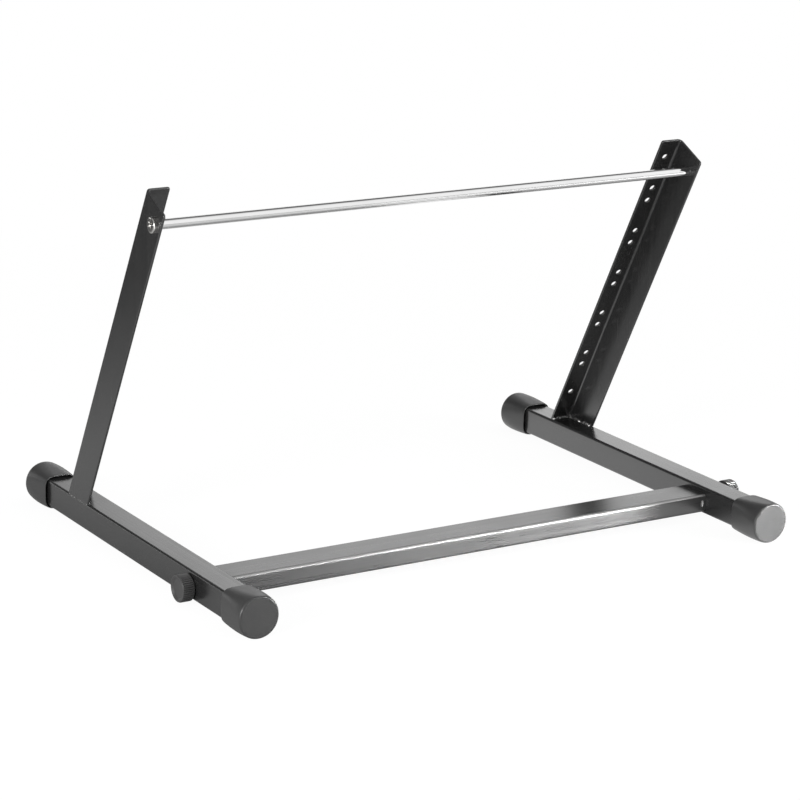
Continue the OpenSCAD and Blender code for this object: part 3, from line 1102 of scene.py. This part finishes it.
def buildRodScrew(side):
    facts = rodScrew
    r, high, rise = facts["headR"], facts["headHigh"], facts["domeRise"]
    shoulder = high - rise - facts["sideHigh"]  # height of the round edge between the side and the dome
    ball = (r ** 2 + rise ** 2) / (2 * rise)
    def dome(reach):
        return high - ball + math.sqrt(ball ** 2 - reach ** 2)
    rings = [(-facts["shank"], facts["shankR"] - 0.5 * mm), (-facts["shank"] + 0.5 * mm, facts["shankR"]),
             (0.0, facts["shankR"]), (0.0, r - 0.1 * mm), (0.06 * mm, r), (facts["sideHigh"] - 0.1 * mm, r)]
    for i in range(1, 8):
        a = math.radians(90 * i / 7)
        rings.append((facts["sideHigh"] + shoulder * math.sin(a), r - shoulder * (1 - math.cos(a))))
    rings += [(dome(r * k), r * k) for k in facts["domeSteps"]]
    long, half = facts["crossLong"], facts["crossHalf"]
    rings += [(dome(long) + 0.02 * mm, crossReach(long + 0.12 * mm, half + 0.14 * mm)),
              (dome(long) - 0.22 * mm, crossReach(long - 0.05 * mm, half)),
              (high - facts["crossDeep"], crossReach(0.45 * long, 0.62 * half))]
    bm = stackRings(rings, facts["segments"])
    turn = Matrix.Rotation(math.radians(facts["crossTurn"][side]), 4, "Z")
    place = railPlace @ Matrix.Translation((sideX, rail["rodDeep"], rail["rodUp"])) @ zToX @ turn
    addPiece(bm, side + "RodScrew", nickel, side + "_rod_screw",
             place=place, side=side, sharp=30)


buildRod()
for side in sides:
    buildRodScrew(side)
print("rod and screws made")


# Floor and light

floorLook = {
    "half": 9.0,
    # painted light and shade that reflections see on it, as colour and glow, from the user's side to the
    # camera's: (Y, shade)
    "paintedBounceStops": ((-0.8, 0.14), (-0.3, 0.55), (-0.12, 0.55), (0.05, 0.42), (0.3, 0.62), (0.65, 0.92)),
    "glow": 0.2,
    # a glowing patch beside the left base tube, for the reflection in its inner side: (axis, nothing, full)
    "patch": (("X", -0.27, -0.235), ("X", -0.11, -0.165), ("Y", -0.27, -0.2), ("Y", 0.27, 0.2)),
    "patchGlow": 0.75,
    "patchPaintedShadow": (0.012, 0.045),  # it is cut away under the cross tube as a painted shadow: (nothing, full) from that tube's middle
    "lift": 0.95,  # what the camera sees: nearly shadowless, and plain white further out
    "shade": 0.075,
    "nearR": 0.42,
    "plainR": 1.1,
}


def joinShaders(tree, kind, a, b, share=None):
    node = tree.nodes.new(kind)
    for shader, socket in zip((a, b), node.inputs[-2:]):
        tree.links.new(shader.outputs[0], socket)
    if share:
        tree.links.new(share, node.inputs["Fac"])
    return node


def paintedBounceTone(tree, y):
    # the painted light and shade on the floor for reflections, along Y
    stops = floorLook["paintedBounceStops"]
    first, last = stops[0][0], stops[-1][0]
    ramp = tree.nodes.new("ShaderNodeValToRGB")
    tree.links.new(rampNode(tree, y, first, last), ramp.inputs["Fac"])
    elements = ramp.color_ramp.elements
    while len(elements) < len(stops):
        elements.new(1.0)
    for element, (at, tone) in zip(elements, stops):
        element.position = (at - first) / (last - first)
        element.color = (tone, tone, tone, 1)
    return ramp.outputs["Color"]


def glowingPatch(tree, parts):
    look = floorLook
    # the patch fades out under the cross tube, a painted shadow
    under = mathNode(tree, "ABSOLUTE", mathNode(tree, "SUBTRACT", parts["Y"], boltY))
    patch = mathNode(tree, "MULTIPLY", rampNode(tree, under, *look["patchPaintedShadow"]), look["patchGlow"])
    for axis, nothing, full in look["patch"]:
        patch = mathNode(tree, "MULTIPLY", rampNode(tree, parts[axis], nothing, full), patch)
    return patch


def makeFloorFinish():
    look = floorLook
    material, tree, shader, where = startMaterial("paleFloor", {})
    tree.nodes.remove(shader)
    distance = tree.nodes.new("ShaderNodeVectorMath")
    distance.operation = "LENGTH"
    tree.links.new(where, distance.inputs[0])
    parts = tree.nodes.new("ShaderNodeSeparateXYZ")
    tree.links.new(where, parts.inputs[0])
    matt, shade = (tree.nodes.new("ShaderNodeBsdfDiffuse") for i in range(2))
    glow, lift, plain = (tree.nodes.new("ShaderNodeEmission") for i in range(3))
    paintedBounceShade = paintedBounceTone(tree, parts.outputs["Y"])
    tree.links.new(paintedBounceShade, matt.inputs["Color"])
    glowing = mathNode(tree, "MULTIPLY", paintedBounceShade, look["glow"])
    tree.links.new(mathNode(tree, "ADD", glowing, glowingPatch(tree, parts.outputs)), glow.inputs["Strength"])
    shade.inputs["Color"].default_value = (look["shade"],) * 3 + (1,)
    lift.inputs["Strength"].default_value = look["lift"]
    reflected = joinShaders(tree, "ShaderNodeAddShader", matt, glow)
    near = joinShaders(tree, "ShaderNodeAddShader", shade, lift)
    further = rampNode(tree, distance.outputs["Value"], look["nearR"], look["plainR"])
    seen = joinShaders(tree, "ShaderNodeMixShader", near, plain, further)
    path = tree.nodes.new("ShaderNodeLightPath")
    pick = joinShaders(tree, "ShaderNodeMixShader", reflected, seen, path.outputs["Is Camera Ray"])
    output = next(n for n in tree.nodes if n.type == "OUTPUT_MATERIAL")
    tree.links.new(pick.outputs[0], output.inputs["Surface"])
    return material


def buildFloor():
    bm = bmesh.new()
    bmesh.ops.create_grid(bm, x_segments=8, y_segments=8, size=floorLook["half"])
    meshObject(bm, "floor", makeFloorFinish())


def addSoftbox(name, where, target, size, radiance, spread=180):
    # radiance is what a point straight ahead sees; a grid narrows the spread
    data = bpy.data.lights.new(name, "AREA")
    data.shape = "RECTANGLE"
    data.size, data.size_y = size
    half = math.radians(min(spread, 179) / 2)
    data.spread = 2 * half
    data.energy = radiance * size[0] * size[1] * math.pi * (math.tan(half) - half) / math.tan(half)
    box = bpy.data.objects.new(name, data)
    aim = (Vector(target) - Vector(where)).to_track_quat("-Z", "Y")
    box.matrix_world = Matrix.Translation(where) @ aim.to_matrix().to_4x4()
    box.visible_camera = False
    bpy.context.scene.collection.objects.link(box)


softboxes = {
    "keyBox": {"where": (-0.95, 0.62, 0.2), "target": (-0.2, 0.15, 0.02), "size": (0.3, 0.3), "radiance": 14.0},
    # a low gridded strip that only rakes the cross tube's back and the rear caps
    "gridStrip": {"where": (-0.71, 0.82, 0.045), "target": (-0.08, 0.11, 0.015), "size": (0.4, 0.07),
                  "radiance": 510.0, "spread": 28},
    "fillBox": {"where": (1.2, 0.45, 0.36), "target": (0.1, 0.0, 0.1), "size": (0.4, 0.4), "radiance": 24.0},
}

# the room as reflections see it: a plain shade, paler upwards, then wide panels laid over it
room = {"horizon": 0.42, "top": 0.58, "topZ": 0.8, "white": 1.0}
panels = [  # inner and outer are degrees from the middle, where it starts and ends to fade
    {"towards": (-0.552, -0.774, 0.309), "inner": 3, "outer": 14, "radiance": 1.85},  # softbox, user's left
    {"towards": (-0.62, 0.70, 0.35), "inner": 33, "outer": 56, "radiance": 1.25},  # wide, camera's right
    {"towards": (0.50, -0.80, 0.35), "inner": 22, "outer": 48, "radiance": 0.08},  # black flag, user's right
    {"towards": (0.42, -0.9, 0.06), "inner": 3, "outer": 14, "radiance": 1.6},  # low slit of light in it
    {"towards": (-0.5, -0.45, 0.75), "inner": 12, "outer": 30, "radiance": 0.18},  # flag above, user's left
    {"towards": (0.75, 0.60, 0.25), "inner": 30, "outer": 60, "radiance": 0.22},  # dim side of the room
]


def panelMask(tree, sight, facts):
    # 1 inside the panel, fading to 0 at its outer reach
    dot = tree.nodes.new("ShaderNodeVectorMath")
    dot.operation = "DOT_PRODUCT"
    tree.links.new(sight, dot.inputs[0])
    dot.inputs[1].default_value = Vector(facts["towards"]).normalized()
    mask = tree.nodes.new("ShaderNodeMapRange")
    mask.interpolation_type = "SMOOTHSTEP"
    tree.links.new(dot.outputs["Value"], mask.inputs["Value"])
    mask.inputs["From Min"].default_value = math.cos(math.radians(facts["outer"]))
    mask.inputs["From Max"].default_value = math.cos(math.radians(facts["inner"]))
    return mask.outputs["Result"]


def buildRoom():
    world = bpy.data.worlds.new("studio")
    world.use_nodes = True
    tree = world.node_tree
    back = next(n for n in tree.nodes if n.type == "BACKGROUND")
    sight = tree.nodes.new("ShaderNodeTexCoord").outputs["Generated"]
    parts = tree.nodes.new("ShaderNodeSeparateXYZ")
    tree.links.new(sight, parts.inputs[0])
    shade = mixNode(tree, rampNode(tree, parts.outputs["Z"], 0.0, room["topZ"]), room["horizon"], room["top"])
    for facts in panels:
        shade = mixNode(tree, panelMask(tree, sight, facts), shade, facts["radiance"])
    path = tree.nodes.new("ShaderNodeLightPath")
    shade = mixNode(tree, path.outputs["Is Camera Ray"], shade, room["white"])
    back.inputs["Color"].default_value = (1, 1, 1, 1)
    tree.links.new(shade, back.inputs["Strength"])
    bpy.context.scene.world = world


buildFloor()
buildRoom()
for name, facts in softboxes.items():
    addSoftbox(name, **facts)
bpy.context.scene.view_settings.view_transform = "Standard"
print("floor and light set")
